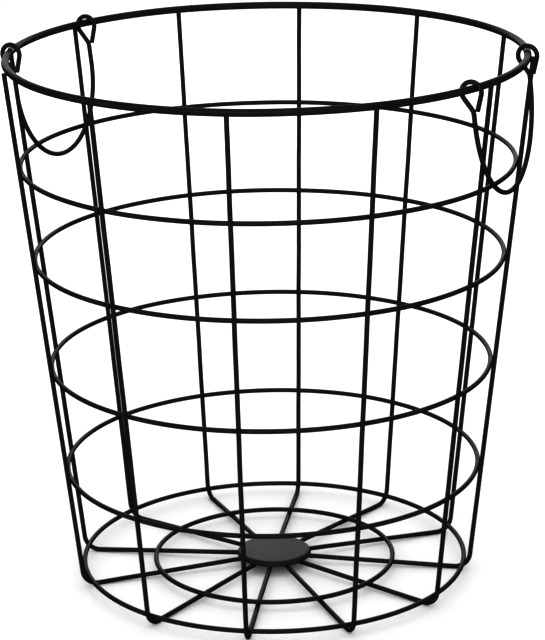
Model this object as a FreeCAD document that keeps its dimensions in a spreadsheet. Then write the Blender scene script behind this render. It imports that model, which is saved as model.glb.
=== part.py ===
# Round, open-topped wire collecting basket with two drop handles.
#
# Twelve L-shaped rib wires stand outside a heavy rim wire and four hoops. At the
# bottom each rib bends inwards under an outer base ring, carries an inner base ring
# and ends below a small pressed hub plate. Every crossing is a resistance weld, which
# sinks the two wires into each other by a fraction of a millimetre. Two drop handles
# hang on the rim by an open hook at each end. Both are bent from the same length of wire,
# and the right one is spread a little wider than the left one.
#
# Frame: +Z up, origin on the ground at the basket's axis, millimetres.
import FreeCAD, Part
import math
import os

import Sketcher

PARTS_FOLDER = "parts"
HOOP_COUNT = 4
ORIGIN_POINT = (-1, 1)  # the sketch's own origin: geometry index and point position

# Driving dimensions: alias, value in mm (slopes are plain ratios, angles are degrees).
DIMENSIONS = (
    ("wire_dia", 3.2),            # hoops, base rings, ribs and handles
    ("rim_wire_dia", 5.0),
    ("weld_set", 0.3),            # how far two welded wires sink into each other
    ("rim_radius", 177.5),        # to the rim wire's centre line
    ("rim_height", 375.0),
    ("wall_slope", 0.109),        # outward travel of a rib for each mm of height
    ("hoop_1_height", 302.2),
    ("hoop_2_height", 235.8),
    ("hoop_3_height", 157.6),
    ("hoop_4_height", 80.8),
    ("bend_radius", 11.0),        # rib's bottom bend, to the centre line
    ("nest_angle", 39.0),         # where the outer base ring touches inside the bend
    ("spoke_slope", 0.04),        # rise of a floor spoke for each mm towards the hub
    ("spoke_end_radius", 9.0),    # gap left between the spokes' inner ends
    ("inner_ring_radius", 85.6),
    ("hub_radius", 26.6),
    ("hub_depth", 3.6),           # pressed cap: flat top and turned-down edge
    ("hub_edge_radius", 3.0),
    ("hub_sheet", 1.2),
    ("rib_01_turn", 15.5),        # each rib's direction, anticlockwise from +X; the ribs
    ("rib_02_turn", 44.5),        # are set by hand, so their spacing isn't quite even
    ("rib_03_turn", 75.0),
    ("rib_04_turn", 105.0),
    ("rib_05_turn", 134.0),
    ("rib_06_turn", 163.0),
    ("rib_07_turn", 192.0),
    ("rib_08_turn", 219.0),
    ("rib_09_turn", 255.0),
    ("rib_10_turn", 285.0),
    ("rib_11_turn", 315.0),
    ("rib_12_turn", 345.5),
    ("right_half_span", 60.0),    # half the distance between a handle's two hooks
    ("right_grip_depth", 80.9),   # rim centre to the bottom of the grip
    ("right_turn", 0.0),          # handle's clockwise turn about the basket's axis
    ("left_half_span", 54.3),
    ("left_grip_depth", 83.6),
    ("left_turn", 1.8),
    ("grip_lean", 6.5),           # grip's lean towards the hooks' free ends
    ("grip_start", 18.5),         # depth where hook and grip join, on the straight leg
    ("crown_radius", 6.7),        # hook's round top, to the centre line
    ("crown_drop", 2.0),          # crown's centre below the rim's centre
    ("hook_slant", 39.0),         # slanting stretch under the rim, from the vertical
    ("hook_bend_radius", 8.0),
    ("hook_tip_reach", 4.2),
    ("hook_tip_drop", 14.3),
)
RIB_LABELS = tuple(alias.removesuffix("_turn") for alias, _ in DIMENSIONS if alias.startswith("rib_"))
SIZE = dict(DIMENSIONS)

# Expressions shared by several sub-parts. A length measured square to the sloping wall
# grows by WALL_STRETCH when it is measured level.
WALL_STRETCH = "sqrt(1 + pow(dims.wall_slope; 2))"
SPOKE_STRETCH = "sqrt(1 + pow(dims.spoke_slope; 2))"
WELD_PITCH = "(dims.wire_dia - dims.weld_set)"
RIM_PITCH = "(dims.rim_wire_dia / 2 + dims.wire_dia / 2 - dims.weld_set)"
RIB_TOP_RADIUS = f"(dims.rim_radius + {RIM_PITCH} * {WALL_STRETCH})"
BEND_HEIGHT = "(dims.bend_radius + dims.wire_dia / 2)"


def rib_axis_at(height):
    """Expression for a rib's distance from the basket's axis at a height."""
    return f"({RIB_TOP_RADIUS} - dims.wall_slope * (dims.rim_height - {height}))"


BEND_CENTRE_RADIUS = f"({rib_axis_at(BEND_HEIGHT)} - dims.bend_radius * {WALL_STRETCH})"


def spoke_axis_at(radius):
    """Expression for a floor spoke's height at a distance from the basket's axis."""
    foot = f"({BEND_HEIGHT} - dims.bend_radius * {SPOKE_STRETCH})"
    return f"({foot} + dims.spoke_slope * ({BEND_CENTRE_RADIUS} - {radius}))"


def make_sheet(doc):
    """Put the driving dimensions in a spreadsheet, one named cell each."""
    sheet = doc.addObject("Spreadsheet::Sheet", "dims")
    for row, (alias, value) in enumerate(DIMENSIONS, start=1):
        sheet.set(f"A{row}", alias)
        sheet.set(f"B{row}", str(value))
        sheet.setAlias(f"B{row}", alias)
    doc.recompute()
    return sheet


def add_ring(doc, label, ring_radius, wire_dia, height):
    """One closed ring of round wire; the sizes are expressions."""
    ring = doc.addObject("Part::Torus", label)
    ring.Label = label
    ring.setExpression("Radius1", ring_radius)
    ring.setExpression("Radius2", f"{wire_dia} / 2")
    ring.setExpression(".Placement.Base.z", height)
    return ring


def origin_plane(body, role):
    """One of the body's own origin planes."""
    return next(plane for plane in body.Origin.OriginFeatures if plane.Role == role)


def add_sketch(body, name, role):
    """Sketch on one of the body's origin planes."""
    sketch = body.newObject("Sketcher::SketchObject", name)
    sketch.AttachmentSupport = [(origin_plane(body, role), "")]
    sketch.MapMode = "FlatFace"
    return sketch


def now(doc, expression):
    """Number that an expression of the sheet's dimensions gives now."""
    result = doc.getObject("dims").evalExpression(expression.replace("dims.", ""))
    return float(getattr(result, "Value", result))


def bind(sketch, kind, references, name, expression):
    """Add a named dimension to a sketch and bind it to an expression."""
    value = now(sketch.Document, expression)
    index = sketch.addConstraint(Sketcher.Constraint(kind, *references, value))
    sketch.renameConstraint(index, name)
    sketch.setExpression(f"Constraints.{name}", expression)


def bind_point(sketch, geometry, position, name, across, up):
    """Fix a sketch point by its distances from the sketch's origin."""
    references = (*ORIGIN_POINT, geometry, position)
    bind(sketch, "DistanceX", references, f"{name}_across", across)
    bind(sketch, "DistanceY", references, f"{name}_up", up)


def add_line(sketch, start, end):
    """Line from its point 1 to its point 2."""
    points = [FreeCAD.Vector(*point, 0) for point in (start, end)]
    return sketch.addGeometry(Part.LineSegment(*points), False)


def add_arc(sketch, centre, radius, start, end):
    """Arc that runs anticlockwise from its point 1 to its point 2; angles in degrees."""
    circle = Part.Circle(FreeCAD.Vector(*centre, 0), FreeCAD.Vector(0, 0, 1), radius)
    arc = Part.ArcOfCircle(circle, math.radians(start), math.radians(end))
    return sketch.addGeometry(arc, False)


def join_smoothly(sketch, first, first_end, second, second_end):
    """Make two elements meet without a corner."""
    sketch.addConstraint(Sketcher.Constraint("Tangent", first, first_end, second, second_end))


def on_circle(centre, radius, angle):
    """Point on a circle at an angle in degrees, anticlockwise from the first axis."""
    turn = math.radians(angle)
    return (centre[0] + radius * math.cos(turn), centre[1] + radius * math.sin(turn))


def downwards(lean):
    """Unit direction down a line that leans forwards by an angle in degrees."""
    return (math.sin(math.radians(lean)), -math.cos(math.radians(lean)))


def step(point, direction, length):
    """Point a length away from another in a direction."""
    return (point[0] + length * direction[0], point[1] + length * direction[1])


def cross(first, second):
    """Cross product of two plane vectors."""
    return first[0] * second[1] - first[1] * second[0]


def add_wire_section(body, role, offsets, tilt_axis, tilt):
    """Round wire section, square to the start of its path."""
    section = add_sketch(body, "wire_section", role)
    circle = Part.Circle(FreeCAD.Vector(), FreeCAD.Vector(0, 0, 1), SIZE["wire_dia"] / 2)
    outline = section.addGeometry(circle, False)
    section.addConstraint(Sketcher.Constraint("Coincident", outline, 3, *ORIGIN_POINT))
    bind(section, "Radius", (outline,), "wire_radius", "dims.wire_dia / 2")
    turned = FreeCAD.Rotation(FreeCAD.Vector(*tilt_axis), 1.0)
    section.AttachmentOffset = FreeCAD.Placement(FreeCAD.Vector(), turned)
    for axis, offset in offsets.items():
        section.setExpression(f".AttachmentOffset.Base.{axis}", offset)
    section.setExpression(".AttachmentOffset.Rotation.Angle", tilt)
    return section


def add_pipe(body, name, section, path):
    """Sweep the wire's section along a path."""
    pipe = body.newObject("PartDesign::AdditivePipe", name)
    pipe.Profile = section
    pipe.Spine = path
    return pipe


def draw_rib_path(body):
    """Floor spoke, bottom bend and wall wire, from the hub's end to the rim's end."""
    doc = body.Document
    path = add_sketch(body, "rib_path", "XZ_Plane")
    bend_centre = (now(doc, BEND_CENTRE_RADIUS), now(doc, BEND_HEIGHT))
    spoke_angle = 270 - math.degrees(math.atan(SIZE["spoke_slope"]))
    wall_angle = 360 - math.degrees(math.atan(SIZE["wall_slope"]))
    spoke_end = (SIZE["spoke_end_radius"], now(doc, spoke_axis_at("dims.spoke_end_radius")))
    wall_end = (now(doc, RIB_TOP_RADIUS), SIZE["rim_height"])
    bend_start = on_circle(bend_centre, SIZE["bend_radius"], spoke_angle)
    bend_end = on_circle(bend_centre, SIZE["bend_radius"], wall_angle)

    spoke = add_line(path, spoke_end, bend_start)
    bend = add_arc(path, bend_centre, SIZE["bend_radius"], spoke_angle, wall_angle)
    wall = add_line(path, bend_end, wall_end)
    join_smoothly(path, spoke, 2, bend, 1)
    join_smoothly(path, bend, 2, wall, 1)
    bind(path, "Radius", (bend,), "bend_radius", "dims.bend_radius")
    bind_point(path, bend, 3, "bend_centre", BEND_CENTRE_RADIUS, BEND_HEIGHT)
    bind_point(path, spoke, 1, "hub_end", "dims.spoke_end_radius", spoke_axis_at("dims.spoke_end_radius"))
    bind_point(path, wall, 2, "rim_end", RIB_TOP_RADIUS, "dims.rim_height")
    return path


def add_rib(doc, label):
    """One L-shaped rib wire, turned about the basket's axis to its place."""
    body = doc.addObject("PartDesign::Body", label)
    body.Label = label
    path = draw_rib_path(body)
    start = {"y": spoke_axis_at("dims.spoke_end_radius"), "z": "dims.spoke_end_radius"}
    section = add_wire_section(body, "YZ_Plane", start, (1, 0, 0), "atan(dims.spoke_slope)")
    doc.recompute()
    add_pipe(body, "rib_wire", section, path)
    body.Placement = FreeCAD.Placement(FreeCAD.Vector(), FreeCAD.Rotation(FreeCAD.Vector(0, 0, 1), 1.0))
    body.setExpression(".Placement.Rotation.Angle", f"dims.{label}_turn")
    return body


def add_hub_plate(doc):
    """Shallow pressed cap that stands with its turned-down edge on the spokes."""
    body = doc.addObject("PartDesign::Body", "hub_plate")
    body.Label = "hub_plate"
    blank = add_sketch(body, "blank", "XY_Plane")
    circle = Part.Circle(FreeCAD.Vector(), FreeCAD.Vector(0, 0, 1), SIZE["hub_radius"])
    outline = blank.addGeometry(circle, False)
    blank.addConstraint(Sketcher.Constraint("Coincident", outline, 3, *ORIGIN_POINT))
    bind(blank, "Radius", (outline,), "hub_radius", "dims.hub_radius")

    disc = body.newObject("PartDesign::Pad", "disc")
    disc.Profile = blank
    disc.setExpression("Length", "dims.hub_depth")
    doc.recompute()

    edge = body.newObject("PartDesign::Fillet", "turned_edge")
    edge.Base = (disc, [extreme_name(disc.Shape.Edges, "Edge", max)])
    edge.setExpression("Radius", "dims.hub_edge_radius")
    doc.recompute()

    sheet = body.newObject("PartDesign::Thickness", "sheet")
    sheet.Base = (edge, [extreme_name(edge.Shape.Faces, "Face", min)])
    sheet.Reversed = True
    sheet.setExpression("Value", "dims.hub_sheet")
    seat = f"{spoke_axis_at('dims.hub_radius')} + dims.wire_dia / 2 - dims.weld_set"
    body.setExpression(".Placement.Base.z", seat)
    return body


def extreme_name(elements, kind, pick):
    """Name of the highest (max) or lowest (min) edge or face, by its whole height."""
    heights = [element.BoundBox.ZMin + element.BoundBox.ZMax for element in elements]
    return f"{kind}{heights.index(pick(heights)) + 1}"


def draw_grip_path(body, side):
    """U of the grip in its leaning plane: straight leg, half circle, straight leg."""
    path = add_sketch(body, "grip_path", "YZ_Plane")
    leaning_back = FreeCAD.Rotation(FreeCAD.Vector(-1, 0, 0), 1.0)
    path.AttachmentOffset = FreeCAD.Placement(FreeCAD.Vector(), leaning_back)
    path.setExpression(".AttachmentOffset.Rotation.Angle", "dims.grip_lean")

    half_span, depth = f"dims.{side}_half_span", f"dims.{side}_grip_depth"
    span = now(body.Document, half_span)
    leg_top = -SIZE["grip_start"]
    leg_foot = span - now(body.Document, depth)
    far_leg = add_line(path, (span, leg_top), (span, leg_foot))
    bow = add_arc(path, (0, leg_foot), span, 180, 360)
    near_leg = add_line(path, (-span, leg_foot), (-span, leg_top))
    join_smoothly(path, far_leg, 2, bow, 2)
    join_smoothly(path, bow, 1, near_leg, 1)
    bind(path, "Radius", (bow,), "bow_radius", half_span)
    bind_point(path, bow, 3, "bow_centre", "0", f"{half_span} - {depth}")
    bind_point(path, far_leg, 1, "far_leg_top", half_span, "-dims.grip_start")
    bind_point(path, near_leg, 2, "near_leg_top", f"-{half_span}", "-dims.grip_start")
    return path


LEG_TOP_REACH = "(dims.grip_start * sin(dims.grip_lean))"
LEG_TOP_DROP = "(-dims.grip_start * cos(dims.grip_lean))"


def draw_hook_path(body, side):
    """Open hook in its upright plane, from the leg under the rim and over to the tip."""
    doc = body.Document
    path = add_sketch(body, "hook_path", "XZ_Plane")
    path.setExpression(".AttachmentOffset.Base.z", f"-dims.{side}_half_span")

    lean, slant = SIZE["grip_lean"], SIZE["hook_slant"]
    crown_centre = (0, -SIZE["crown_drop"])
    slant_top = on_circle(crown_centre, SIZE["crown_radius"], 180 + slant)
    leg_top = (now(doc, LEG_TOP_REACH), now(doc, LEG_TOP_DROP))
    # The slanting stretch and the leg meet at a knee, which the bend rounds off.
    to_leg = (leg_top[0] - slant_top[0], leg_top[1] - slant_top[1])
    slant_length = cross(to_leg, downwards(lean)) / cross(downwards(slant), downwards(lean))
    knee = step(slant_top, downwards(slant), slant_length)
    cut = SIZE["hook_bend_radius"] * math.tan(math.radians(slant - lean) / 2)
    bend_foot = step(knee, downwards(lean), cut)
    bend_head = step(knee, downwards(slant), -cut)
    bend_centre = on_circle(bend_foot, SIZE["hook_bend_radius"], 180 + lean)
    tip = (SIZE["hook_tip_reach"], -SIZE["hook_tip_drop"])

    leg = add_line(path, leg_top, bend_foot)
    bend = add_arc(path, bend_centre, SIZE["hook_bend_radius"], lean, slant)
    slanting = add_line(path, bend_head, slant_top)
    crown = add_arc(path, crown_centre, SIZE["crown_radius"], 0, 180 + slant)
    free_end = add_line(path, on_circle(crown_centre, SIZE["crown_radius"], 0), tip)
    join_smoothly(path, leg, 2, bend, 1)
    join_smoothly(path, bend, 2, slanting, 1)
    join_smoothly(path, slanting, 2, crown, 2)
    join_smoothly(path, crown, 1, free_end, 1)
    bind_point(path, leg, 1, "leg_top", LEG_TOP_REACH, LEG_TOP_DROP)
    bind(path, "Angle", (leg,), "leg_angle", "(90 + dims.grip_lean) * 1 deg")
    bind(path, "Radius", (bend,), "bend_radius", "dims.hook_bend_radius")
    bind(path, "Angle", (slanting,), "slant_angle", "(90 + dims.hook_slant) * 1 deg")
    bind(path, "Radius", (crown,), "crown_radius", "dims.crown_radius")
    bind_point(path, crown, 3, "crown_centre", "0", "-dims.crown_drop")
    bind_point(path, free_end, 2, "tip", "dims.hook_tip_reach", "-dims.hook_tip_drop")
    return path


def add_handle(doc, label, side, way):
    """One drop handle on the "left" or "right" side of the rim, -1 or 1 along X."""
    body = doc.addObject("PartDesign::Body", label)
    body.Label = label
    grip_path = draw_grip_path(body, side)
    hook_path = draw_hook_path(body, side)
    start = {"x": LEG_TOP_REACH, "y": f"dims.{side}_half_span", "z": LEG_TOP_DROP}
    section = add_wire_section(body, "XY_Plane", start, (0, -1, 0), "dims.grip_lean")
    doc.recompute()
    add_pipe(body, "grip", section, grip_path)
    hook = add_pipe(body, "hook", section, hook_path)
    doc.recompute()
    other_hook = body.newObject("PartDesign::Mirrored", "other_hook")
    other_hook.Originals = [hook]
    other_hook.MirrorPlane = (origin_plane(body, "XZ_Plane"), [""])
    body.Tip = other_hook
    clockwise = FreeCAD.Rotation(FreeCAD.Vector(0, 0, -1), 1.0)
    body.Placement = FreeCAD.Placement(FreeCAD.Vector(), clockwise)
    reach = f"{way} * sqrt(pow(dims.rim_radius; 2) - pow(dims.{side}_half_span; 2))"
    body.setExpression(".Placement.Base.x", f"{reach} * cos(dims.{side}_turn)")
    body.setExpression(".Placement.Base.y", f"-({reach}) * sin(dims.{side}_turn)")
    body.setExpression(".Placement.Base.z", "dims.rim_height")
    body.setExpression(".Placement.Rotation.Angle", f"dims.{side}_turn")
    return body


def make_rings(doc):
    """Rim, wall hoops and base rings."""
    rings = [add_ring(doc, "rim_ring", "dims.rim_radius", "dims.rim_wire_dia", "dims.rim_height")]
    for number in range(1, HOOP_COUNT + 1):
        height = f"dims.hoop_{number}_height"
        radius = f"{rib_axis_at(height)} - {WELD_PITCH} * {WALL_STRETCH}"
        rings.append(add_ring(doc, f"hoop_{number}", radius, "dims.wire_dia", height))
    nest = f"(dims.bend_radius - {WELD_PITCH})"
    outer_radius = f"{BEND_CENTRE_RADIUS} + {nest} * cos(dims.nest_angle)"
    outer_height = f"{BEND_HEIGHT} - {nest} * sin(dims.nest_angle)"
    rings.append(add_ring(doc, "base_ring_outer", outer_radius, "dims.wire_dia", outer_height))
    inner_height = f"{spoke_axis_at('dims.inner_ring_radius')} + {WELD_PITCH} * {SPOKE_STRETCH}"
    rings.append(
        add_ring(doc, "base_ring_inner", "dims.inner_ring_radius", "dims.wire_dia", inner_height)
    )
    return rings


def check(doc, pieces):
    """Stop if an object failed or a piece isn't one valid solid."""
    for item in doc.Objects:
        failed = {"Invalid", "Error"} & set(item.State)
        if failed:
            raise RuntimeError(f"{item.Label} is {failed}")
    for piece in pieces:
        shape = piece.Shape
        if shape.isNull() or not shape.isValid() or len(shape.Solids) != 1:
            raise RuntimeError(f"{piece.Label} isn't one valid solid")


def main():
    """Build every piece, check it and write it to its own file."""
    doc = FreeCAD.newDocument("collecting_basket")
    make_sheet(doc)
    pieces = make_rings(doc)
    pieces.append(add_hub_plate(doc))
    for label in RIB_LABELS:
        pieces.append(add_rib(doc, label))
    pieces.append(add_handle(doc, "handle_right", "right", 1))
    pieces.append(add_handle(doc, "handle_left", "left", -1))
    doc.recompute()
    check(doc, pieces)

    os.makedirs(PARTS_FOLDER, exist_ok=True)
    for piece in pieces:
        piece.Shape.exportStep(os.path.join(PARTS_FOLDER, f"{piece.Label}.step"))
        box = piece.Shape.BoundBox
        print(f"{piece.Label}: {piece.Shape.Volume:.1f} mm3, z {box.ZMin:.2f} to {box.ZMax:.2f}")


main()
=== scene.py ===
"""Black powder-coated wire collecting basket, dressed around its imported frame.

Each sub-assembly is a class that works out its own wires, makes their meshes and
dresses them: the closed rings, the L-shaped ribs, the pressed hub plate, the drop
handles and the small resistance welds where wires cross.
"""
import logging
import math
from abc import ABC, abstractmethod
from dataclasses import dataclass, field
from enum import Enum

import bpy
import numpy as np
from mathutils import Matrix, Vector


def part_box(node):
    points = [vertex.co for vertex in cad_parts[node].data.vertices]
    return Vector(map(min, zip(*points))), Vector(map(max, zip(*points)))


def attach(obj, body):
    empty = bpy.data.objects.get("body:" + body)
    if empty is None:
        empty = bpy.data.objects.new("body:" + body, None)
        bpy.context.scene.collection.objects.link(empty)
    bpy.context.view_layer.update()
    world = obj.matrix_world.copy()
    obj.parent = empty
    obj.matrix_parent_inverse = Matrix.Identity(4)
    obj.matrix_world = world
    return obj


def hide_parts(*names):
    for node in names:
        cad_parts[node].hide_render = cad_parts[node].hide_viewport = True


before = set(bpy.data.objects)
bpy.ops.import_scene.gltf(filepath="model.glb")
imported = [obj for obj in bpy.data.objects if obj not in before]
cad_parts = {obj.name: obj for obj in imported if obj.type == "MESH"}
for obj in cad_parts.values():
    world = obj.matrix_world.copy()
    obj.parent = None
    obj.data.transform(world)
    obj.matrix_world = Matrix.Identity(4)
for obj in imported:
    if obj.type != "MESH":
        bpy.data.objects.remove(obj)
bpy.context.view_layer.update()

LOG = logging.getLogger("collecting_basket")
MM = 0.001
COAT = 0.08 * MM         # film of powder coat that stands proud of the CAD's bare wires
CUT_DOME = 0.08          # bulge of a wire's cut end, as a share of its rounding
SEED = 12
UP = np.array((0.0, 0.0, 1.0))
ACROSS = np.array((0.0, 1.0, 0.0))


class Body(Enum):
    """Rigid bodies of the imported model."""

    BASKET = "basket"
    HANDLE_LEFT = "handle_left"
    HANDLE_RIGHT = "handle_right"


class Slot(Enum):
    """Material slots of the record."""

    WIRE = "coated_wire"
    PLATE = "coated_plate"


# ---------------------------------------------------------------------------
# Small geometry helpers
# ---------------------------------------------------------------------------


def unit(vectors: np.ndarray) -> np.ndarray:
    """Scale vectors to length one along their last axis.

    Args:
        vectors: Array whose last axis holds coordinates.

    Returns:
        Array of the same shape with unit rows.
    """
    return vectors / np.linalg.norm(vectors, axis=-1, keepdims=True)


def outward(angle: float) -> np.ndarray:
    """Level direction away from the basket's axis at an angle in radians from +X."""
    return np.array((math.cos(angle), math.sin(angle), 0.0))


def clockwise(turn: float) -> np.ndarray:
    """Matrix that turns rows of coordinates clockwise about +Z, seen from above.

    Args:
        turn: Angle in degrees.

    Returns:
        The 3 by 3 matrix, to multiply rows on their right.
    """
    sine, cosine = math.sin(math.radians(turn)), math.cos(math.radians(turn))
    return np.array(((cosine, -sine, 0.0), (sine, cosine, 0.0), (0.0, 0.0, 1.0)))


def wobble(stations: np.ndarray, depth: float, pitch: float, rng: np.random.Generator) -> np.ndarray:
    """Gentle straightening waves of drawn wire: three sines of falling size.

    Args:
        stations: Distance along the wire at each station.
        depth: Size of the largest wave.
        pitch: Length of the longest wave.
        rng: Seeded source of the waves' phases.

    Returns:
        Sideways offset at each station.
    """
    phases = rng.uniform(0.0, 2.0 * np.pi, 3)
    orders = np.array((1.0, 2.0, 5.0))
    turns = 2.0 * np.pi * orders * stations[:, None] / pitch + phases
    return (depth * np.sin(turns) / orders).sum(axis=1)


def closed_wobble(angles: np.ndarray, depth: float, rng: np.random.Generator) -> np.ndarray:
    """Waves round a ring, as sines of whole orders so that the ring still closes.

    Args:
        angles: Angle of each station round the ring.
        depth: Size of the largest wave.
        rng: Seeded source of the waves' phases.

    Returns:
        Offset at each station.
    """
    orders = np.array((5.0, 8.0, 13.0))
    phases = rng.uniform(0.0, 2.0 * np.pi, 3)
    return (depth * np.sin(angles[:, None] * orders + phases) * orders[0] / orders).sum(axis=1)


@dataclass(frozen=True)
class Run:
    """One move of a wire bender: a straight length, or a bend if it also turns.

    Attributes:
        length: Length along the wire's centre line.
        turn: Angle turned over that length in radians, anticlockwise positive.
    """

    length: float
    turn: float = 0.0

    @classmethod
    def bend(cls, radius: float, turn: float) -> "Run":
        """Bend of a centre line radius through an angle in radians."""
        return cls(radius * abs(turn), turn)


def bent_wire(
    start: tuple[float, float], heading: float, runs: list[Run], spacing: float, turn_step: float
) -> tuple[np.ndarray, np.ndarray, np.ndarray]:
    """Centre line of a wire bent in one plane, by straight runs and round bends.

    On a straight run a point moves along the heading. On a bend of curvature k it is
    at ((sin(h + k s) - sin h) / k, (cos h - cos(h + k s)) / k) from the bend's start.

    Args:
        start: First point in the plane.
        heading: First direction, in radians from the plane's first axis.
        runs: Straight runs and bends in order.
        spacing: Longest step between stations on a straight run.
        turn_step: Largest turn between stations on a bend, in radians.

    Returns:
        Points, unit tangents and distances along the wire, one row per station.
    """
    points, headings, distances = [], [], []
    place, travelled = np.array(start, float), 0.0
    for run in runs:
        count = max(2, math.ceil(run.length / spacing), math.ceil(abs(run.turn) / turn_step))
        along = np.linspace(0.0, run.length, count + 1)
        curvature = run.turn / run.length
        angle = heading + curvature * along
        if run.turn:
            offset = np.stack((np.sin(angle) - math.sin(heading), math.cos(heading) - np.cos(angle)), 1)
            offset = offset / curvature
        else:
            offset = along[:, None] * np.array((math.cos(heading), math.sin(heading)))
        keep = slice(0, None) if run is runs[-1] else slice(0, -1)
        points.append((place + offset)[keep])
        headings.append(angle[keep])
        distances.append((travelled + along)[keep])
        place, travelled, heading = place + offset[-1], travelled + run.length, angle[-1]
    angles = np.concatenate(headings)
    tangents = np.stack((np.cos(angles), np.sin(angles)), axis=1)
    return np.concatenate(points), tangents, np.concatenate(distances)


# ---------------------------------------------------------------------------
# Skins: grids of points turned into closed meshes
# ---------------------------------------------------------------------------


@dataclass
class Skin:
    """Closed surface given as rows of points round a section.

    Attributes:
        rows: Points as (row, place round the section, coordinate).
        endless: True if the last row joins the first, False if both ends are capped.
    """

    rows: np.ndarray
    endless: bool = False

    def faces(self, first: int) -> tuple[np.ndarray, np.ndarray]:
        """Quads between neighbouring rows and triangles over the two ends.

        Args:
            first: Number of the skin's first vertex in its mesh.

        Returns:
            Quads and triangles as vertex numbers.
        """
        count, sides = self.rows.shape[:2]
        row = np.arange(count if self.endless else count - 1)[:, None]
        side = np.arange(sides)[None, :]
        after, beside = (row + 1) % count, (side + 1) % sides
        quads = np.stack(
            (row * sides + side, row * sides + beside, after * sides + beside, after * sides + side), -1
        )
        around = np.arange(sides)
        pole = count * sides
        low = np.stack((np.full(sides, pole), (around + 1) % sides, around), -1)
        high = np.stack((np.full(sides, pole + 1), around, (around + 1) % sides), -1)
        high[:, 1:] += (count - 1) * sides
        caps = np.zeros((0, 3), int) if self.endless else np.concatenate((low, high))
        return quads.reshape(-1, 4) + first, caps + first

    def points(self) -> np.ndarray:
        """All vertices: the rows, then the two poles of a capped skin."""
        flat = self.rows.reshape(-1, 3)
        if self.endless:
            return flat
        return np.concatenate((flat, self.rows[:1].mean(axis=1), self.rows[-1:].mean(axis=1)))

    def volume(self) -> float:
        """Signed volume from the faces' tetrahedra, positive if the faces point outwards."""
        points = self.points()
        quads, caps = self.faces(0)
        triangles = np.concatenate((quads[:, :3], quads[:, [0, 2, 3]], caps))
        a, b, c = (points[triangles[:, corner]] for corner in range(3))
        return float(np.einsum("ij,ij->i", a, np.cross(b, c)).sum() / 6.0)


def make_piece(name: str, skins: list[Skin], body: Body, material: bpy.types.Material,
               replaces: tuple[str, ...] = ()) -> bpy.types.Object:
    """Put skins into one smooth mesh object and hang it on a body.

    Args:
        name: Name of the new piece.
        skins: Closed skins of the piece.
        body: Body that it moves with.
        material: Material of all its faces.
        replaces: CAD nodes that it stands for.

    Returns:
        The new object.
    """
    points, quads, caps, first = [], [], [], 0
    for skin in skins:
        if skin.volume() < 0.0:
            skin = Skin(skin.rows[:, ::-1], skin.endless)
        corners, ends = skin.faces(first)
        points.append(skin.points())
        quads.append(corners)
        caps.append(ends)
        first += len(points[-1])
    vertices, fours, threes = np.concatenate(points), np.concatenate(quads), np.concatenate(caps)
    mesh = bpy.data.meshes.new(name)
    mesh.vertices.add(len(vertices))
    mesh.vertices.foreach_set("co", vertices.astype(np.float32).ravel())
    loops = np.concatenate((fours.ravel(), threes.ravel())).astype(np.int32)
    mesh.loops.add(len(loops))
    mesh.loops.foreach_set("vertex_index", loops)
    starts = np.concatenate((np.arange(len(fours)) * 4, fours.size + np.arange(len(threes)) * 3))
    mesh.polygons.add(len(starts))
    mesh.polygons.foreach_set("loop_start", starts.astype(np.int32))
    mesh.polygons.foreach_set("use_smooth", np.ones(len(starts), bool))
    mesh.update(calc_edges=True)
    mesh.materials.append(material)
    piece = bpy.data.objects.new(name, mesh)
    bpy.context.scene.collection.objects.link(piece)
    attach(piece, body.value)
    if replaces:
        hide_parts(*replaces)
    LOG.info("%s: %d faces on %s", name, len(starts), body.value)
    return piece


def wire_skin(centres: np.ndarray, tangents: np.ndarray, first: np.ndarray, radii: np.ndarray,
              sides: int, edge: float = 0.0) -> Skin:
    """Round section carried along a centre line: c + r (cos a e1 + sin a e2).

    With an edge radius the wire has two cut ends, whose rims are quarter circles and
    whose faces are slightly domed, as sheared and coated wire ends are.

    Args:
        centres: Centre line points.
        tangents: Unit directions along the wire.
        first: Unit directions e1 square to the tangents; e2 is their cross product.
        radii: Wire radius at each station.
        sides: Points round the section.
        edge: Radius of the rounding at the cut ends, or 0 for an endless ring.

    Returns:
        The wire's skin.
    """
    if edge:
        turn = np.linspace(0.0, np.pi / 2.0, 5)
        inset = np.append(edge * (1.0 - np.sin(turn)), -CUT_DOME * edge)
        drop = np.append(edge * (1.0 - np.cos(turn)), 0.5 * (radii[0] + edge))
        start = centres[0] + inset[::-1, None] * tangents[0]
        finish = centres[-1] - inset[:, None] * tangents[-1]
        count = len(inset)
        centres = np.concatenate((start, centres[1:-1], finish))
        first = np.concatenate(
            (np.repeat(first[:1], count, 0), first[1:-1], np.repeat(first[-1:], count, 0))
        )
        tangents = np.concatenate(
            (np.repeat(tangents[:1], count, 0), tangents[1:-1], np.repeat(tangents[-1:], count, 0))
        )
        radii = np.concatenate((radii[0] - drop[::-1], radii[1:-1], radii[-1] - drop))
    second = np.cross(tangents, first)
    angle = 2.0 * np.pi * np.arange(sides) / sides
    ring = np.cos(angle)[:, None] * first[:, None] + np.sin(angle)[:, None] * second[:, None]
    return Skin(centres[:, None] + radii[:, None, None] * ring, endless=not edge)


# ---------------------------------------------------------------------------
# Wires as ideal shapes, and the welds between them
# ---------------------------------------------------------------------------


@dataclass(frozen=True)
class Wire(ABC):
    """Round wire with a simple centre line near a weld.

    Attributes:
        radius: Radius of the section.
    """

    radius: float

    @abstractmethod
    def nearest_axis(self, points: np.ndarray) -> np.ndarray:
        """Nearest points of the centre line."""

    def surface(self, points: np.ndarray) -> tuple[np.ndarray, np.ndarray]:
        """Nearest points of the wire's surface and its normals there."""
        axis = self.nearest_axis(points)
        normals = unit(points - axis)
        return axis + self.radius * normals, normals


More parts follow.
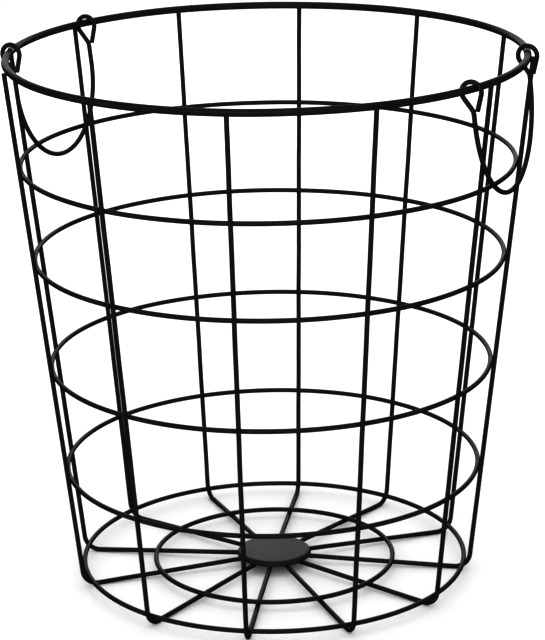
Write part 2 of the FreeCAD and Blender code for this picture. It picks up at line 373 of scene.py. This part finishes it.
@dataclass(frozen=True)
class StraightWire(Wire):
    """Straight stretch through a point along a unit direction."""

    point: np.ndarray
    direction: np.ndarray

    def nearest_axis(self, points: np.ndarray) -> np.ndarray:
        """Foot of each point on the straight line."""
        along = (points - self.point) @ self.direction
        return self.point + along[:, None] * self.direction


@dataclass(frozen=True)
class RoundWire(Wire):
    """Stretch of a circle of a radius about a centre, square to an axis."""

    centre: np.ndarray
    axis: np.ndarray
    ring_radius: float

    def nearest_axis(self, points: np.ndarray) -> np.ndarray:
        """Point of the circle in the same direction from its centre."""
        offset = points - self.centre
        level = offset - (offset @ self.axis)[:, None] * self.axis
        return self.centre + self.ring_radius * unit(level)


@dataclass(frozen=True)
class Weld:
    """Small fillet all round the place where two wires have sunk into each other.

    Attributes:
        under: Wire on the side that the normal comes from.
        over: Wire on the side that the normal points to.
        contact: Middle of the weld.
        normal: Unit direction from one wire's centre line to the other's.
        along: Unit direction of the rib at the weld.
        reach: How far the fillet spreads from the middle.
        limit: Furthest that it may go along the rib, where the rib ends.
    """

    under: Wire
    over: Wire
    contact: np.ndarray
    normal: np.ndarray
    along: np.ndarray
    reach: float
    limit: float = 1.0

    SIDES = 28
    RISE = 7
    UNEVEN = (0.07, 0.04)    # swings of its outline, as shares of its reach
    PULL = 0.8               # length of the curves' end tangents, as a share of its reach
    SUNK = 0.15              # depth of its closed ends inside the wires, as a share of its reach

    def skin(self, rng: np.random.Generator) -> Skin:
        """Collar between the wires' surfaces, closed inside both of them.

        Round the weld, a foot point is put on each wire. A cubic curve joins each
        pair: it leaves one surface along it towards the middle, and arrives on the
        other surface along it away from the middle, so both feet blend in.

        Args:
            rng: Seeded source of the small unevenness.

        Returns:
            The weld's skin.
        """
        angle = 2.0 * np.pi * np.arange(self.SIDES) / self.SIDES
        uneven = 1.0 + self.UNEVEN[0] * np.sin(2.0 * angle + rng.uniform(0, 6.0)) + self.UNEVEN[1] * np.sin(
            3.0 * angle + rng.uniform(0, 6.0)
        )
        across = np.cross(self.normal, self.along)
        ahead = np.minimum(self.reach * uneven * np.cos(angle), self.limit)
        aside = self.reach * uneven * np.sin(angle)
        away = ahead[:, None] * self.along + aside[:, None] * across
        low, low_normal = self.under.surface(self.contact + away)
        high, high_normal = self.over.surface(self.contact + away)
        away = unit(away)
        leave = unit(-away + (away * low_normal).sum(1, keepdims=True) * low_normal)
        arrive = unit(away - (away * high_normal).sum(1, keepdims=True) * high_normal)
        step = np.linspace(0.0, 1.0, self.RISE)[:, None, None]
        pull = self.PULL * self.reach
        rows = (
            (2 * step**3 - 3 * step**2 + 1) * low
            + (step**3 - 2 * step**2 + step) * pull * leave
            + (3 * step**2 - 2 * step**3) * high
            + (step**3 - step**2) * pull * arrive
        )
        sunk = self.SUNK * self.reach
        rows = np.concatenate(((low - sunk * low_normal)[None], rows, (high - sunk * high_normal)[None]))
        return Skin(rows)


# ---------------------------------------------------------------------------
# Finishes
# ---------------------------------------------------------------------------


def linear(colour: str) -> tuple[float, float, float, float]:
    """Turn an sRGB hex colour such as "#101012" into linear red, green, blue and alpha."""
    parts = np.array([int(colour[place : place + 2], 16) for place in (1, 3, 5)]) / 255.0
    light = np.where(parts <= 0.04045, parts / 12.92, ((parts + 0.055) / 1.055) ** 2.4)
    return (*light.tolist(), 1.0)


def add_node(tree: bpy.types.NodeTree, kind: str, settings: dict | None = None,
             links: dict | None = None) -> bpy.types.Node:
    """Add a node with its settings and incoming links.

    Args:
        tree: Node tree to add it to.
        kind: Node type.
        settings: Attribute names, or input names or numbers, with their values.
        links: Input names or numbers with the output socket that feeds each.

    Returns:
        The new node.
    """
    node = tree.nodes.new(kind)
    for name, value in (settings or {}).items():
        if isinstance(name, str) and hasattr(node, name):
            setattr(node, name, value)
        else:
            node.inputs[name].default_value = value
    for name, socket in (links or {}).items():
        tree.links.new(socket, node.inputs[name])
    return node


@dataclass(frozen=True)
class PowderCoat:
    """Black polyester powder coat, sprayed on steel and baked.

    The melt levels into a satin film with a fine orange peel and a few dull patches,
    so highlights on the wires are soft, broken and never mirror-sharp.

    Attributes:
        name: Name of the material.
        deep: Colour where the film is thick.
        thin: Colour where it is thin or a little chalky.
        roughness: Lowest and highest roughness over the surface.
        specular: Specular level; 0.5 is a plain IOR of 1.5.
        peel_pitch: Distance between orange peel bumps.
        peel_height: Height of the orange peel bumps.
        patch_pitch: Size of the duller patches.
    """

    name: str
    deep: str
    thin: str
    roughness: tuple[float, float]
    specular: float
    peel_pitch: float = 1.1 * MM
    peel_height: float = 0.012 * MM
    patch_pitch: float = 14.0 * MM

    def material(self) -> bpy.types.Material:
        """Build the node material, on Object coordinates."""
        material = bpy.data.materials.new(self.name)
        material.use_nodes = True
        tree = material.node_tree
        tree.nodes.clear()
        place = add_node(tree, "ShaderNodeTexCoord").outputs["Object"]
        patches = add_node(
            tree, "ShaderNodeTexNoise",
            {"Scale": 1.0 / self.patch_pitch, "Detail": 3.0, "Roughness": 0.55}, {"Vector": place},
        )
        grain = add_node(
            tree, "ShaderNodeTexNoise",
            {"Scale": 1.0 / (0.25 * self.peel_pitch), "Detail": 2.0, "Roughness": 0.6}, {"Vector": place},
        )
        peel = add_node(
            tree, "ShaderNodeTexNoise",
            {"Scale": 1.0 / self.peel_pitch, "Detail": 1.5, "Roughness": 0.45}, {"Vector": place},
        )
        tone = add_node(
            tree, "ShaderNodeMix", {"data_type": "FLOAT", 0: 0.35},
            {2: patches.outputs["Fac"], 3: grain.outputs["Fac"]},
        )
        colour = add_node(tree, "ShaderNodeValToRGB", links={"Fac": tone.outputs[0]})
        colour.color_ramp.elements[0].position = 0.35
        colour.color_ramp.elements[0].color = linear(self.deep)
        colour.color_ramp.elements[1].position = 0.68
        colour.color_ramp.elements[1].color = linear(self.thin)
        dull = add_node(
            tree, "ShaderNodeMapRange",
            {"From Min": 0.3, "From Max": 0.7, "To Min": self.roughness[0], "To Max": self.roughness[1]},
            {"Value": tone.outputs[0]},
        )
        height = add_node(
            tree, "ShaderNodeMath", {"operation": "MULTIPLY_ADD", 1: 0.15},
            {0: grain.outputs["Fac"], 2: peel.outputs["Fac"]},
        )
        bump = add_node(
            tree, "ShaderNodeBump", {"Strength": 1.0, "Distance": self.peel_height},
            {"Height": height.outputs[0]},
        )
        shader = add_node(
            tree, "ShaderNodeBsdfPrincipled", {"Specular IOR Level": self.specular, "IOR": 1.5},
            {"Base Color": colour.outputs["Color"], "Roughness": dull.outputs["Result"],
             "Normal": bump.outputs["Normal"]},
        )
        add_node(tree, "ShaderNodeOutputMaterial", links={"Surface": shader.outputs["BSDF"]})
        return material


# Wire: a satin film over drawn steel wire.
WIRE_COAT = PowderCoat("powder_coat_black_wire", "#1d1d20", "#27272b", (0.36, 0.48), 0.48)
# Pressed plate: the same powder on flat sheet, a little smoother; its greyer colours are painted sheen,
# standing in for the top light that the flat face reflects.
PLATE_COAT_PAINTED_SHEEN = PowderCoat("powder_coat_black_plate_painted_sheen", "#232327", "#2c2c31", (0.32, 0.42), 0.50)


# ---------------------------------------------------------------------------
# Sub-assemblies
# ---------------------------------------------------------------------------


@dataclass
class ClosedRing:
    """Rim, hoop or base ring: one wire bent round and butt-welded to itself.

    Attributes:
        node: CAD node that gives its size and place.
        name: Name of the piece.
        seam_turn: Where its butt weld is, in degrees from +X.
        stations: Points along the ring.
        sides: Points round the wire.
        wave: Depth of the gentle waves left by the ring roller.
        height: Height of its centre line.
        wire_radius: Radius of the bare wire.
        ring_radius: Radius of its centre line.
    """

    CROWDING = 0.85          # how far stations crowd together at the seam, from 0 to 1
    SWELL = 0.07             # swelling at the butt weld, as a share of the wire's radius
    SWELL_REACH = 0.9 * MM   # distance along the ring over which it fades

    node: str
    name: str
    seam_turn: float
    stations: int = 576
    sides: int = 20
    wave: float = 0.05 * MM
    height: float = field(init=False)
    wire_radius: float = field(init=False)
    ring_radius: float = field(init=False)

    def __post_init__(self) -> None:
        """Read the ring's size and height from its CAD box."""
        low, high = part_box(self.node)
        self.height = (low.z + high.z) / 2.0
        self.wire_radius = (high.z - low.z) / 2.0
        self.ring_radius = high.x - self.wire_radius

    def wire(self) -> RoundWire:
        """The coated ring as an ideal wire."""
        return RoundWire(self.wire_radius + COAT, self.height * UP, UP, self.ring_radius)

    def skin(self, rng: np.random.Generator) -> Skin:
        """Coated ring with a slight swelling at its butt weld, r (1 + SWELL exp(-(s / SWELL_REACH)^2)).

        Args:
            rng: Seeded source of the ring's waves.

        Returns:
            The ring's skin.
        """
        turn = 2.0 * np.pi * np.arange(self.stations) / self.stations
        # Stations crowd together at the seam, so that its narrow swelling has its shape.
        seam = math.radians(self.seam_turn)
        angle = seam + turn - self.CROWDING * np.sin(turn)
        past_seam = self.ring_radius * (turn - self.CROWDING * np.sin(turn))
        past_seam = np.minimum(past_seam, 2.0 * np.pi * self.ring_radius - past_seam)
        swelling = self.SWELL * np.exp(-((past_seam / self.SWELL_REACH) ** 2))
        radii = COAT + self.wire_radius * (1.0 + swelling)
        radial = np.stack((np.cos(angle), np.sin(angle), np.zeros_like(angle)), axis=1)
        tangents = np.stack((-np.sin(angle), np.cos(angle), np.zeros_like(angle)), axis=1)
        centres = (self.ring_radius + closed_wobble(angle, self.wave, rng))[:, None] * radial
        centres = centres + (self.height + closed_wobble(angle, self.wave, rng))[:, None] * UP
        return wire_skin(centres, tangents, radial, radii, self.sides)

    def build(self, material: bpy.types.Material, rng: np.random.Generator) -> bpy.types.Object:
        """Make the ring's piece in place of its CAD node."""
        return make_piece(self.name, [self.skin(rng)], Body.BASKET, material, (self.node,))


@dataclass
class Ribs:
    """Twelve L-shaped wires: wall, bottom bend and floor spoke in one piece each.

    Attributes:
        rim: Rim ring that the ribs end on.
        turns: Direction of every rib, in degrees from +X.
        weld_set: How far two welded wires sink into each other.
        wall_slope: Outward travel for each unit of height.
        spoke_slope: Rise of a spoke for each unit towards the hub.
        bend_radius: Radius of the bottom bend's centre line.
        nest_turn: Where the outer base ring touches the bend, in degrees below level.
        spoke_end: Distance of a spoke's inner end from the axis.
        edge: Rounding of the cut ends.
        wave: Depth of the waves that straightening leaves in the wire.
        wave_pitch: Length of the longest of them.
        fade: Length over which they die out at each end.
        sides: Points round the wire.
    """

    rim: ClosedRing
    turns: tuple[float, ...] = (
        15.5, 44.5, 75.0, 105.0, 134.0, 163.0, 192.0, 219.0, 255.0, 285.0, 315.0, 345.5
    )
    weld_set: float = 0.3 * MM
    wall_slope: float = 0.109
    spoke_slope: float = 0.04
    bend_radius: float = 11.0 * MM
    nest_turn: float = 39.0
    spoke_end: float = 9.0 * MM
    edge: float = 0.35 * MM
    wave: float = 0.06 * MM
    wave_pitch: float = 95.0 * MM
    fade: float = 20.0 * MM
    sides: int = 20

    def __post_init__(self) -> None:
        """Work out the rib's lines in its own upright plane, as in the CAD model."""
        low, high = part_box("hoop_1")
        self.radius = (high.z - low.z) / 2.0
        self.wall_tilt = math.atan(self.wall_slope)
        self.spoke_tilt = math.atan(self.spoke_slope)
        to_rib = self.rim.wire_radius + self.radius - self.weld_set
        self.top = (self.rim.ring_radius + to_rib / math.cos(self.wall_tilt), self.rim.height)
        height = self.bend_radius + self.radius
        wall_at_bend = self.top[0] - self.wall_slope * (self.top[1] - height)
        self.bend_centre = (wall_at_bend - self.bend_radius / math.cos(self.wall_tilt), height)

    def angles(self) -> np.ndarray:
        """Direction of every rib, in radians from +X."""
        return np.radians(self.turns)

    def spoke_height(self, radius: float) -> float:
        """Height of a spoke's centre line at a distance from the axis."""
        foot = self.bend_centre[1] - self.bend_radius / math.cos(self.spoke_tilt)
        return foot + self.spoke_slope * (self.bend_centre[0] - radius)

    def centre_line(self) -> tuple[np.ndarray, np.ndarray, np.ndarray]:
        """Spoke, bend and wall in the plane of distance from the axis and height."""
        start = (self.spoke_end, self.spoke_height(self.spoke_end))
        bend_foot = (
            self.bend_centre[0] - self.bend_radius * math.sin(self.spoke_tilt),
            self.bend_centre[1] - self.bend_radius * math.cos(self.spoke_tilt),
        )
        bend_head = (
            self.bend_centre[0] + self.bend_radius * math.cos(self.wall_tilt),
            self.bend_centre[1] - self.bend_radius * math.sin(self.wall_tilt),
        )
        runs = [
            Run(math.dist(start, bend_foot)),
            Run.bend(self.bend_radius, math.pi / 2.0 - self.wall_tilt + self.spoke_tilt),
            Run(math.dist(bend_head, self.top)),
        ]
        return bent_wire(start, -self.spoke_tilt, runs, spacing=3.0 * MM, turn_step=math.radians(5.0))

    def skin(self, angle: float, rng: np.random.Generator) -> Skin:
        """One rib's wire, with faint waves that die out at both ends.

        Args:
            angle: Direction of the rib, in radians from +X.
            rng: Seeded source of the waves.

        Returns:
            The rib's skin.
        """
        points, directions, along = self.centre_line()
        aside = np.cross(UP, outward(angle))
        fade = np.clip(np.minimum(along, along[-1] - along) / self.fade, 0.0, 1.0)
        drift = fade * wobble(along, self.wave, self.wave_pitch, rng)
        centres = points[:, :1] * outward(angle) + points[:, 1:] * UP + drift[:, None] * aside
        tangents = directions[:, :1] * outward(angle) + directions[:, 1:] * UP
        first = np.repeat(aside[None], len(centres), axis=0)
        radii = np.full(len(centres), self.radius + COAT)
        return wire_skin(centres, tangents, first, radii, self.sides, self.edge)

    def wall_wire(self, angle: float) -> StraightWire:
        """The upright stretch as an ideal wire."""
        direction = math.sin(self.wall_tilt) * outward(angle) + math.cos(self.wall_tilt) * UP
        return StraightWire(self.radius + COAT, self.top[0] * outward(angle) + self.top[1] * UP, direction)

    def bend_wire(self, angle: float) -> RoundWire:
        """The bottom bend as an ideal wire."""
        centre = self.bend_centre[0] * outward(angle) + self.bend_centre[1] * UP
        return RoundWire(self.radius + COAT, centre, np.cross(UP, outward(angle)), self.bend_radius)

    def spoke_wire(self, angle: float) -> StraightWire:
        """The floor stretch as an ideal wire, pointing outwards."""
        direction = math.cos(self.spoke_tilt) * outward(angle) - math.sin(self.spoke_tilt) * UP
        start = self.spoke_end * outward(angle) + self.spoke_height(self.spoke_end) * UP
        return StraightWire(self.radius + COAT, start, direction)

    def build(self, material: bpy.types.Material, rng: np.random.Generator) -> None:
        """Make every rib's piece in place of its CAD node."""
        for number, angle in enumerate(self.angles(), start=1):
            node = f"rib_{number:02d}"
            make_piece(f"{node}_wire", [self.skin(angle, rng)], Body.BASKET, material, (node,))


@dataclass
class HubPlate:
    """Shallow pressed cap that stands with its turned-down edge on the spokes.

    Attributes:
        edge_radius: Outside radius of the turned-down edge.
        sheet: Thickness of the sheet.
        lip: Rounding of the sheet's cut edge.
        crown: How much higher the middle is than the edge of the flat.
        sides: Points round the plate.
    """

    edge_radius: float = 3.0 * MM
    sheet: float = 1.2 * MM
    lip: float = 0.35 * MM
    crown: float = 0.12 * MM
    sides: int = 144

    def __post_init__(self) -> None:
        """Read the plate's size from its CAD box."""
        low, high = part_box("hub_plate")
        self.radius, self.foot, self.top = high.x, low.z, high.z

    def edge_wire(self) -> RoundWire:
        """The sheet's lower edge as an ideal round wire, for the welds on it."""
        half = self.sheet / 2.0
        return RoundWire(half + COAT, (self.foot + half) * UP, UP, self.radius - half)

    def profile(self) -> np.ndarray:
        """Section of the sheet from the middle of the top round to the middle below.

        The top is a very flat parabola, the edge two quarter circles about one centre,
        and the cut lip two small quarter circles.
        """
        flat = self.radius - self.edge_radius
        bend_height = self.top - self.edge_radius
        inner = self.edge_radius - self.sheet
        across = np.linspace(0.02, 1.0, 12)
        fall = self.crown * across**2
        turn = np.linspace(0.0, np.pi / 2.0, 9)[1:]
        corner = np.linspace(0.0, np.pi / 2.0, 4)
        top = np.stack((flat * across, self.top - fall), 1)
        outer_height = bend_height + (self.edge_radius - self.crown) * np.cos(turn)
        outer = np.stack((flat + self.edge_radius * np.sin(turn), outer_height), 1)
        lip_out = np.stack(
            (self.radius - self.lip * (1 - np.cos(corner)), self.foot + self.lip * (1 - np.sin(corner))), 1
        )
        inside = self.radius - self.sheet
        lip_in = np.stack(
            (inside + self.lip * (1 - np.sin(corner)), self.foot + self.lip * (1 - np.cos(corner))), 1
        )
        swing = turn - turn[0]
        back = np.stack((flat + inner * np.cos(swing), bend_height + inner * np.sin(swing)), 1)
        below = np.stack((flat * across[::-1], self.top - self.sheet - fall[::-1]), 1)
        return np.concatenate((top, outer, lip_out, lip_in, back, below))

    def build(self, material: bpy.types.Material) -> bpy.types.Object:
        """Turn the profile about the axis and make the plate in place of its CAD node."""
        section = self.profile()
        turn = 2.0 * np.pi * np.arange(self.sides) / self.sides
        level = np.stack((np.cos(turn), np.sin(turn), np.zeros_like(turn)), axis=1)
        rows = section[:, None, :1] * level[None] + section[:, None, 1:] * UP
        return make_piece("hub_cap", [Skin(rows)], Body.BASKET, material, ("hub_plate",))


@dataclass
class DropHandle:
    """One thin wire: a U-shaped grip with an open hook at each end, hung on the rim.

    Attributes:
        side: +1 for the handle at +X, -1 for the one at -X.
        rim: Rim ring that it hangs on.
        half_span: Half the distance between its hooks.
        grip_depth: From the rim's centre to the bottom of the grip.
        turn: Its clockwise turn about the basket's axis, in degrees.
        lean: Grip's lean towards the hooks' free ends, in degrees.
        crown_radius: Radius of the hook's round top.
        crown_drop: Height of the rim's centre above the crown's centre.
        slant: Slope of the stretch below the rim, in degrees from the vertical.
        bend_radius: Radius of the bend between the slanting stretch and the leg.
        tip: Free end of the hook: how far forwards of the rim's centre, and its height from there.
        edge: Rounding of the cut ends.
        wire_radius: Radius of the bare wire.
        sides: Points round the wire.
    """

    side: int
    rim: ClosedRing
    half_span: float
    grip_depth: float
    turn: float
    lean: float = 6.5
    crown_radius: float = 6.7 * MM
    crown_drop: float = 2.0 * MM
    slant: float = 39.0
    bend_radius: float = 8.0 * MM
    tip: tuple[float, float] = (4.2 * MM, -14.3 * MM)
    edge: float = 0.35 * MM
    wire_radius: float = 1.6 * MM
    sides: int = 20

    def hook_line(self) -> tuple[np.ndarray, np.ndarray, np.ndarray]:
        """Hook and straight leg in their upright plane, from the free end downwards."""
        centre = np.array((0.0, -self.crown_drop))
        to_centre = centre - self.tip
        reach = float(np.hypot(*to_centre))
        free_length = math.sqrt(reach**2 - self.crown_radius**2)
        heading = math.atan2(to_centre[1], to_centre[0]) - math.asin(self.crown_radius / reach)
        lean, slant = math.radians(self.lean), math.radians(self.slant)
        crown_turn = 1.5 * math.pi + slant - heading
        slant_way = np.array((math.sin(slant), -math.cos(slant)))
        leg_way = np.array((math.sin(lean), -math.cos(lean)))
        slant_top = centre - self.crown_radius * np.array((math.cos(slant), math.sin(slant)))
        # The slanting stretch meets the leg's line at a knee, rounded by the bend.
        gap = -slant_top
        turn = slant_way[0] * leg_way[1] - slant_way[1] * leg_way[0]
        slant_length = (gap[0] * leg_way[1] - gap[1] * leg_way[0]) / turn
        knee = slant_top + slant_length * slant_way
        cut = self.bend_radius * math.tan((slant - lean) / 2.0)
        leg_top = float(np.hypot(*knee)) + cut
        runs = [
            Run(free_length),
            Run.bend(self.crown_radius, crown_turn),
            Run(slant_length - cut),
            Run.bend(self.bend_radius, lean - slant),
            Run(self.grip_depth - self.half_span - leg_top),
        ]
        return bent_wire(self.tip, heading, runs, spacing=2.0 * MM, turn_step=math.radians(6.0))

    def skin(self) -> Skin:
        """Hook, half circle of the grip and the other hook as one smooth wire.

        Each hook lies in an upright plane square to the line between them. The grip's
        half circle lies in the leaning plane that holds both legs.
        """
        flat, way, _ = self.hook_line()
        count = len(flat)
        near = np.stack((flat[:, 0], np.full(count, self.half_span), flat[:, 1]), 1)
        near_way = np.stack((way[:, 0], np.zeros(count), way[:, 1]), 1)
        mirror = np.array((1.0, -1.0, 1.0))
        far, far_way = near[::-1] * mirror, -near_way[::-1] * mirror
        lean = math.radians(self.lean)
        down = np.array((math.sin(lean), 0.0, -math.cos(lean)))
        turn = np.linspace(0.0, np.pi, 61)[1:-1, None]
        middle = (near[-1] + far[0]) / 2.0
        bow = middle + self.half_span * (np.cos(turn) * ACROSS + np.sin(turn) * down)
        bow_way = -np.sin(turn) * ACROSS + np.cos(turn) * down
        level = np.cross(down, ACROSS)
        beside = np.repeat(ACROSS[None], count, 0)
        first = np.concatenate((beside, np.cross(level, bow_way), -beside))
        chord = math.sqrt(self.rim.ring_radius**2 - self.half_span**2)
        place = self.side * chord * np.array((1.0, 0.0, 0.0)) + self.rim.height * UP
        about = clockwise(self.turn)
        centres = (np.concatenate((near, bow, far)) + place) @ about
        tangents = np.concatenate((near_way, bow_way, far_way)) @ about
        radii = np.full(len(centres), self.wire_radius + COAT)
        return wire_skin(centres, tangents, first @ about, radii, self.sides, self.edge)

    def build(self, material: bpy.types.Material) -> bpy.types.Object:
        """Make the handle's piece on its own body, in place of its CAD node."""
        body = Body.HANDLE_RIGHT if self.side > 0 else Body.HANDLE_LEFT
        name = f"{body.value}_wire"
        return make_piece(name, [self.skin()], body, material, (body.value,))


@dataclass
class Welds:
    """Resistance welds between the ribs and everything that they carry.

    Attributes:
        ribs: The ribs.
        rings: Rim and hoops, on the upright stretch.
        outer_ring: Base ring inside the bottom bends.
        inner_ring: Base ring on the spokes.
        hub: Hub plate on the spokes' inner ends.
        spread: How far a weld's fillet spreads from its middle.
        hub_share: Share of that spread at the hub plate's thinner edge.
    """

    ribs: Ribs
    rings: list[ClosedRing]
    outer_ring: ClosedRing
    inner_ring: ClosedRing
    hub: HubPlate
    spread: float = 1.7 * MM
    hub_share: float = 0.75

    def between(self, ring: RoundWire, rib: Wire, ring_point: np.ndarray, normal: np.ndarray,
                along: np.ndarray, spread: float, limit: float = 1.0) -> Weld:
        """Weld whose normal points from a ring's centre line to the rib's."""
        contact = ring_point + (ring.radius - COAT - self.ribs.weld_set / 2.0) * normal
        return Weld(ring, rib, contact, normal, along, spread, limit)

    def wall_weld(self, ring: ClosedRing, angle: float) -> Weld:
        """Weld of the rim or a hoop to the inside of an upright stretch."""
        wall = self.ribs.wall_wire(angle)
        normal = math.cos(self.ribs.wall_tilt) * outward(angle) - math.sin(self.ribs.wall_tilt) * UP
        point = ring.ring_radius * outward(angle) + ring.height * UP
        room = float((wall.point - point) @ wall.direction)
        return self.between(ring.wire(), wall, point, normal, wall.direction, self.spread, room)

    def bend_weld(self, angle: float) -> Weld:
        """Weld of the outer base ring inside a bottom bend."""
        turn = math.radians(self.ribs.nest_turn)
        normal = math.cos(turn) * outward(angle) - math.sin(turn) * UP
        along = math.sin(turn) * outward(angle) + math.cos(turn) * UP
        point = self.outer_ring.ring_radius * outward(angle) + self.outer_ring.height * UP
        ring, bend = self.outer_ring.wire(), self.ribs.bend_wire(angle)
        return self.between(ring, bend, point, normal, along, self.spread)

    def spoke_weld(self, ring: RoundWire, angle: float, spread: float) -> Weld:
        """Weld of a ring that lies on a spoke."""
        spoke = self.ribs.spoke_wire(angle)
        normal = -np.cross(spoke.direction, np.cross(UP, outward(angle)))
        normal = normal if normal[2] < 0.0 else -normal
        point = ring.ring_radius * outward(angle) + ring.centre
        return self.between(ring, spoke, point, normal, spoke.direction, spread)

    def build(self, material: bpy.types.Material, rng: np.random.Generator) -> None:
        """Make one piece of welds for each ring and one for the hub plate."""
        angles = self.ribs.angles()
        groups = {ring.name: [self.wall_weld(ring, angle) for angle in angles] for ring in self.rings}
        groups[self.outer_ring.name] = [self.bend_weld(angle) for angle in angles]
        inner, edge = self.inner_ring.wire(), self.hub.edge_wire()
        groups[self.inner_ring.name] = [self.spoke_weld(inner, angle, self.spread) for angle in angles]
        hub_spread = self.hub_share * self.spread
        groups["hub_cap"] = [self.spoke_weld(edge, angle, hub_spread) for angle in angles]
        for name, welds in groups.items():
            skins = [weld.skin(rng) for weld in welds]
            make_piece(f"{name}_welds", skins, Body.BASKET, material)


# ---------------------------------------------------------------------------
# Studio
# ---------------------------------------------------------------------------


@dataclass(frozen=True)
class SoftBox:
    """Rectangular studio light that faces the basket.

    Attributes:
        name: Name of the light.
        place: Where it hangs.
        size: Its two sides.
        power: Its power in watts.
    """

    name: str
    place: tuple[float, float, float]
    size: tuple[float, float]
    power: float

    def build(self, target: np.ndarray) -> None:
        """Hang the light, turned towards a target."""
        lamp = bpy.data.lights.new(self.name, "AREA")
        lamp.shape = "RECTANGLE"
        lamp.size, lamp.size_y = self.size
        lamp.energy = self.power
        thing = bpy.data.objects.new(self.name, lamp)
        thing.matrix_world = facing(np.array(self.place), unit(target - np.array(self.place)), 0.0)
        bpy.context.scene.collection.objects.link(thing)


def facing(place: np.ndarray, forward: np.ndarray, roll: float) -> Matrix:
    """World matrix of a lamp or camera that looks along a direction.

    Args:
        place: Where it stands.
        forward: Unit direction that it looks in.
        roll: Turn about that direction, in radians.

    Returns:
        The matrix.
    """
    side = unit(np.cross(forward, UP))
    above = np.cross(side, forward)
    turned_side = math.cos(roll) * side + math.sin(roll) * above
    turned_above = math.cos(roll) * above - math.sin(roll) * side
    matrix = np.eye(4)
    matrix[:3, :4] = np.stack((turned_side, turned_above, -forward, place), axis=1)
    return Matrix(matrix.tolist())


@dataclass
class Studio:
    """Pale floor, soft light and the camera.

    Attributes:
        turn: Camera's direction round the basket, in degrees; 0 looks along +Y.
        rise: Camera's height above the horizon, in degrees.
        distance: From the camera to the point that it looks at.
        aim_height: Height of that point on the basket's axis.
        roll: Camera's roll, in degrees.
        lens: Focal length in millimetres on a 36 mm sensor.
        shift: Small shift of the frame, as shares of its longer side.
        gamma: Display gamma; below 1 it darkens middle greys, as at the wires' edges.
    """

    turn: float = 23.0
    rise: float = 17.69
    distance: float = 1797.4 * MM
    aim_height: float = 184.8 * MM
    roll: float = -0.92
    lens: float = 143.5
    shift: tuple[float, float] = (0.0031, -0.0009)
    gamma: float = 0.68

    def add_camera(self) -> None:
        """Set up the camera."""
        turn, rise = math.radians(self.turn), math.radians(self.rise)
        level = math.cos(rise)
        forward = np.array((-math.sin(turn) * level, math.cos(turn) * level, -math.sin(rise)))
        data = bpy.data.cameras.new("camera")
        data.sensor_width = 36.0
        data.lens = self.lens
        data.shift_x, data.shift_y = self.shift
        camera = bpy.data.objects.new("camera", data)
        place = self.aim_height * UP - self.distance * forward
        camera.matrix_world = facing(place, forward, math.radians(self.roll))
        bpy.context.scene.collection.objects.link(camera)
        bpy.context.scene.camera = camera

    def add_floor(self) -> None:
        """Lay a wide, smooth white floor."""
        half = 30.0     # half its side, in metres
        corners = [(-half, -half, 0.0), (half, -half, 0.0), (half, half, 0.0), (-half, half, 0.0)]
        mesh = bpy.data.meshes.new("floor")
        mesh.from_pydata(corners, [], [(0, 1, 2, 3)])
        material = bpy.data.materials.new("matt_white_board")
        material.use_nodes = True
        shader = material.node_tree.nodes["Principled BSDF"]
        shader.inputs["Base Color"].default_value = linear("#fbfbfb")
        shader.inputs["Roughness"].default_value = 0.9
        shader.inputs["Specular IOR Level"].default_value = 0.1
        mesh.materials.append(material)
        floor = bpy.data.objects.new("floor", mesh)
        bpy.context.scene.collection.objects.link(floor)
        floor.visible_glossy = False

    def add_light(self) -> None:
        """Light the basket softly, with a sheen from the front, the left, above and behind.

        The white surround and floor light the basket but aren't mirrored in it, so that
        the coat stays near black up to the wires' edges.
        """
        world = bpy.data.worlds.new("white_surround")
        world.use_nodes = True
        surround = world.node_tree.nodes["Background"]
        surround.inputs["Color"].default_value = linear("#ffffff")
        surround.inputs["Strength"].default_value = 1.08
        world.cycles_visibility.glossy = False
        bpy.context.scene.world = world
        target = self.aim_height * UP
        boxes = (
            SoftBox("front_box", (0.5, -1.9, 1.1), (1.1, 1.1), 5.0),
            SoftBox("overhead_box", (0.0, 0.2, 1.7), (1.0, 1.0), 1.2),
            SoftBox("left_box", (-1.5, -1.2, 0.7), (0.5, 1.2), 1.5),
            SoftBox("back_box", (-0.8, 1.85, 0.8), (2.4, 0.9), 11.0),
        )
        for box in boxes:
            box.build(target)

    def build(self) -> None:
        """Make the camera, the floor and the lights."""
        self.add_camera()
        self.add_floor()
        self.add_light()
        bpy.context.scene.view_settings.view_transform = "Standard"
        bpy.context.scene.view_settings.gamma = self.gamma


def main() -> None:
    """Build the studio and the basket's sub-assemblies in order."""
    logging.basicConfig(level=logging.INFO, format="%(name)s: %(message)s")
    rng = np.random.default_rng(SEED)
    Studio().build()
    wire_coat, plate_coat_painted_sheen = WIRE_COAT.material(), PLATE_COAT_PAINTED_SHEEN.material()
    rim = ClosedRing("rim_ring", "rim_wire", seam_turn=131.0, stations=720, sides=28)
    hoops = [
        ClosedRing(f"hoop_{number}", f"hoop_{number}_wire", seam_turn=40.0 + 97.0 * number)
        for number in range(1, 5)
    ]
    outer_ring = ClosedRing("base_ring_outer", "base_ring_outer_wire", seam_turn=67.0)
    inner_ring = ClosedRing("base_ring_inner", "base_ring_inner_wire", seam_turn=187.0)
    for ring in (rim, *hoops, outer_ring, inner_ring):
        ring.build(wire_coat, rng)
    ribs = Ribs(rim)
    ribs.build(wire_coat, rng)
    hub = HubPlate()
    hub.build(plate_coat_painted_sheen)
    DropHandle(1, rim, half_span=60.0 * MM, grip_depth=80.9 * MM, turn=0.0).build(wire_coat)
    DropHandle(-1, rim, half_span=54.3 * MM, grip_depth=83.6 * MM, turn=1.8).build(wire_coat)
    Welds(ribs, [rim, *hoops], outer_ring, inner_ring, hub).build(wire_coat, rng)


if __name__ == "__main__":
    main()
